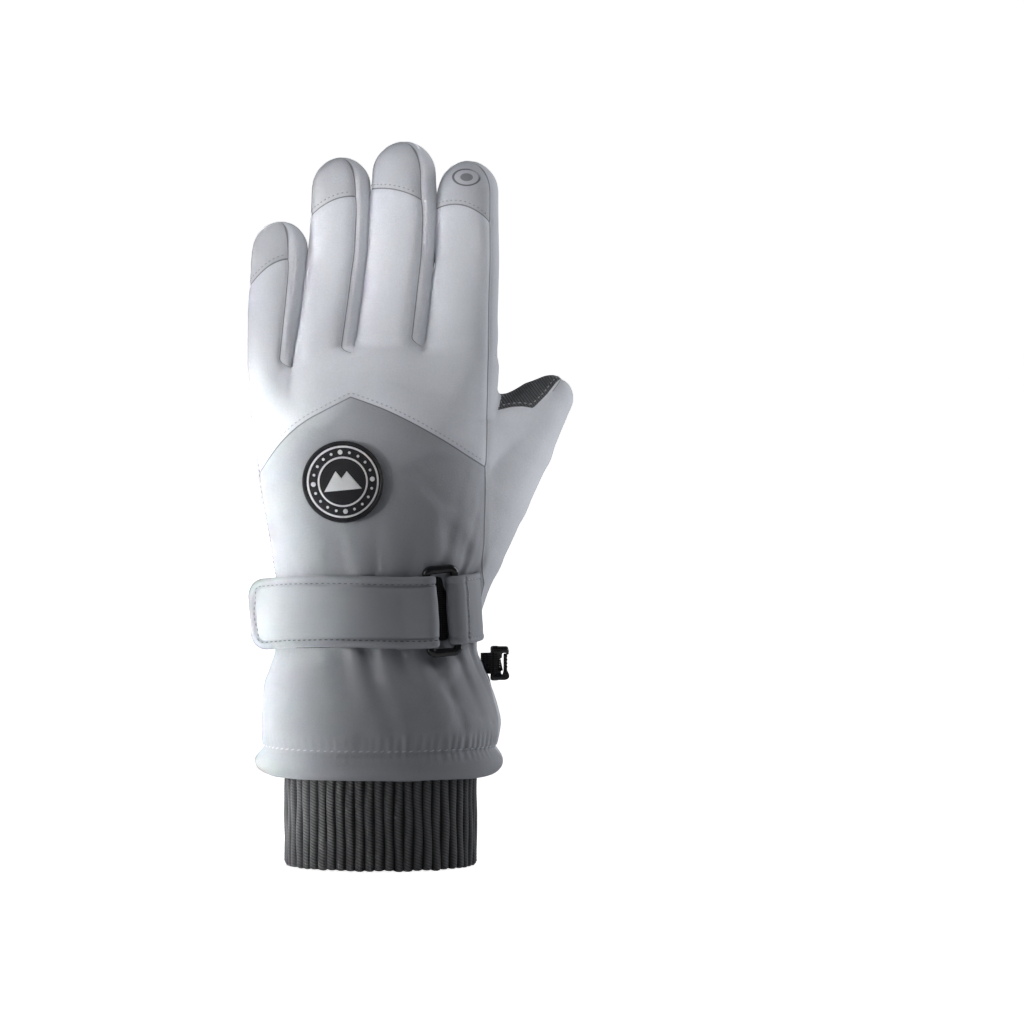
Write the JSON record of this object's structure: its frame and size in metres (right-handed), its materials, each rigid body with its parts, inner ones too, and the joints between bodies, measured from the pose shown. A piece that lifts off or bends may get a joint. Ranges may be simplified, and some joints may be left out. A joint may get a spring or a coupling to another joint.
{
  "type": "ski glove",
  "caption": "Padded five-finger winter glove with gauntlet, wrist pull strap, rubber badge, grip palm, knitted inner cuff and a small pairing clip; fingers, thumb and wrist bend.",
  "frame": {"origin": "centre of the knitted cuff's rim, on the plane it stands on", "axes": "+Z from the cuff towards the fingertips, -Y out of the back of the hand, +Y out of the palm, +X towards the thumb"},
  "size_m": [0.1377, 0.0724, 0.3043],
  "materials": {
    "light_softshell": "matte, fine grained woven softshell",
    "grey_softshell": "matte, fine grained woven softshell",
    "grip_twill": "matte diagonal twill with a rubbery print",
    "fleece_lining": "brushed fleece",
    "padding": "fibre wadding",
    "rib_knit": "ribbed knit",
    "elastic": "braided elastic",
    "touch_fastener": "hook and loop pile",
    "black_plastic": "moulded, glossy",
    "black_webbing": "narrow woven tape",
    "badge_rubber": "moulded soft rubber, satin",
    "badge_relief": "moulded soft rubber, satin"
  },
  "bodies": {
    "cuff": {"gauntlet_back": "grey_softshell", "gauntlet_palm": "light_softshell", "gauntlet_lining": "fleece_lining", "hem_roll": "light_softshell", "rib_cuff": "rib_knit", "wrist_elastic": "elastic", "strap_base": "grey_softshell", "loop_patch": "touch_fastener", "strap_anchor": "grey_softshell", "clip_webbing": "black_webbing"},
    "hand": {"back_upper_panel": "light_softshell", "back_lower_panel": "grey_softshell", "palm_panel": "light_softshell", "palm_patch": "grip_twill", "crotch_patch": "grip_twill", "hand_padding": "padding", "hand_lining": "fleece_lining", "thumb_gusset": "light_softshell", "badge_base": "badge_rubber", "badge_relief": "badge_relief"},
    "pinky_base": {"pinky_base_back": "light_softshell", "pinky_base_palm": "light_softshell", "pinky_base_lining": "fleece_lining"},
    "pinky_tip": {"pinky_tip_back": "light_softshell", "pinky_tip_palm": "light_softshell", "pinky_tip_lining": "fleece_lining", "pinky_cap": "grey_softshell"},
    "ring_base": {"ring_base_back": "light_softshell", "ring_base_palm": "light_softshell", "ring_base_lining": "fleece_lining"},
    "ring_tip": {"ring_tip_back": "light_softshell", "ring_tip_palm": "light_softshell", "ring_tip_lining": "fleece_lining", "ring_cap": "grey_softshell"},
    "middle_base": {"middle_base_back": "light_softshell", "middle_base_palm": "light_softshell", "middle_base_lining": "fleece_lining"},
    "middle_tip": {"middle_tip_back": "light_softshell", "middle_tip_palm": "light_softshell", "middle_tip_lining": "fleece_lining", "middle_cap": "grey_softshell", "middle_touch_pad": "grip_twill"},
    "index_base": {"index_base_back": "light_softshell", "index_base_palm": "light_softshell", "index_base_lining": "fleece_lining"},
    "index_tip": {"index_tip_back": "light_softshell", "index_tip_palm": "light_softshell", "index_tip_lining": "fleece_lining", "index_cap": "grey_softshell", "index_touch_pad": "grip_twill"},
    "thumb_base": {"thumb_base_shell": "light_softshell", "thumb_base_lining": "fleece_lining"},
    "thumb_tip": {"thumb_tip_shell": "light_softshell", "thumb_tip_pad": "grip_twill", "thumb_tip_lining": "fleece_lining"},
    "loop": {"strap_loop": "black_plastic"},
    "tab": {"pull_tab": "grey_softshell", "hook_patch": "touch_fastener"},
    "clip": {"clip_body": "black_plastic"},
    "gate": {"clip_gate": "black_plastic"}
  },
  "joints": [
    {"name": "wrist_bend", "type": "hinge", "parent": "cuff", "child": "hand", "pos_m": [-0.0018, 0, 0.131], "axis": [-1, 0, 0], "range_deg": [-20, 20]},
    {"name": "pinky_knuckle", "type": "hinge", "parent": "hand", "child": "pinky_base", "pos_m": [-0.04594, 0, 0.21595], "axis": [-0.9969, 0, 0.0785], "range_deg": [0, 50]},
    {"name": "pinky_middle", "type": "hinge", "parent": "pinky_base", "child": "pinky_tip", "pos_m": [-0.04422, 0, 0.23788], "axis": [-0.9969, 0, 0.0785], "range_deg": [0, 55]},
    {"name": "ring_knuckle", "type": "hinge", "parent": "hand", "child": "ring_base", "pos_m": [-0.02233, 0, 0.2259], "axis": [-0.9962, 0, 0.0872], "range_deg": [0, 50]},
    {"name": "ring_middle", "type": "hinge", "parent": "ring_base", "child": "ring_tip", "pos_m": [-0.02024, 0, 0.24981], "axis": [-0.9962, 0, 0.0872], "range_deg": [0, 55]},
    {"name": "middle_knuckle", "type": "hinge", "parent": "hand", "child": "middle_base", "pos_m": [0.0046, 0, 0.22592], "axis": [-0.9971, 0, 0.0767], "range_deg": [0, 50]},
    {"name": "middle_middle", "type": "hinge", "parent": "middle_base", "child": "middle_tip", "pos_m": [0.00667, 0, 0.25284], "axis": [-0.9971, 0, 0.0767], "range_deg": [0, 55]},
    {"name": "index_knuckle", "type": "hinge", "parent": "hand", "child": "index_base", "pos_m": [0.03325, 0, 0.22496], "axis": [-0.9985, 0, 0.0541], "range_deg": [0, 50]},
    {"name": "index_middle", "type": "hinge", "parent": "index_base", "child": "index_tip", "pos_m": [0.03466, 0, 0.25093], "axis": [-0.9985, 0, 0.0541], "range_deg": [0, 55]},
    {"name": "thumb_root", "type": "hinge", "parent": "hand", "child": "thumb_base", "pos_m": [0.051, 0.009, 0.157], "axis": [-0.8039, -0.4226, 0.4185], "range_deg": [0, 35]},
    {"name": "thumb_bend", "type": "hinge", "parent": "thumb_base", "child": "thumb_tip", "pos_m": [0.06116, 0.009, 0.17651], "axis": [-0.8039, -0.4226, 0.4185], "range_deg": [0, 45]},
    {"name": "loop_swivel", "type": "hinge", "parent": "cuff", "child": "loop", "pos_m": [0.03175, -0.0202, 0.10917], "axis": [-0.0558, 0, 0.9984], "range_deg": [0, 20]},
    {"name": "strap_peel", "type": "hinge", "parent": "loop", "child": "tab", "pos_m": [0.02027, -0.0256, 0.10853], "axis": [-0.0558, 0, 0.9984], "range_deg": [0, 100]},
    {"name": "clip_swivel", "type": "hinge", "parent": "cuff", "child": "clip", "pos_m": [0.0474, 0, 0.085], "axis": [0, 0, 1], "range_deg": [-30, 30]},
    {"name": "clip_gate_press", "type": "hinge", "parent": "clip", "child": "gate", "pos_m": [0.0524, 0, 0.0804], "axis": [0, -1, 0], "range_deg": [0, 12], "stiffness_Nm_per_rad": 0.002}
  ]
}
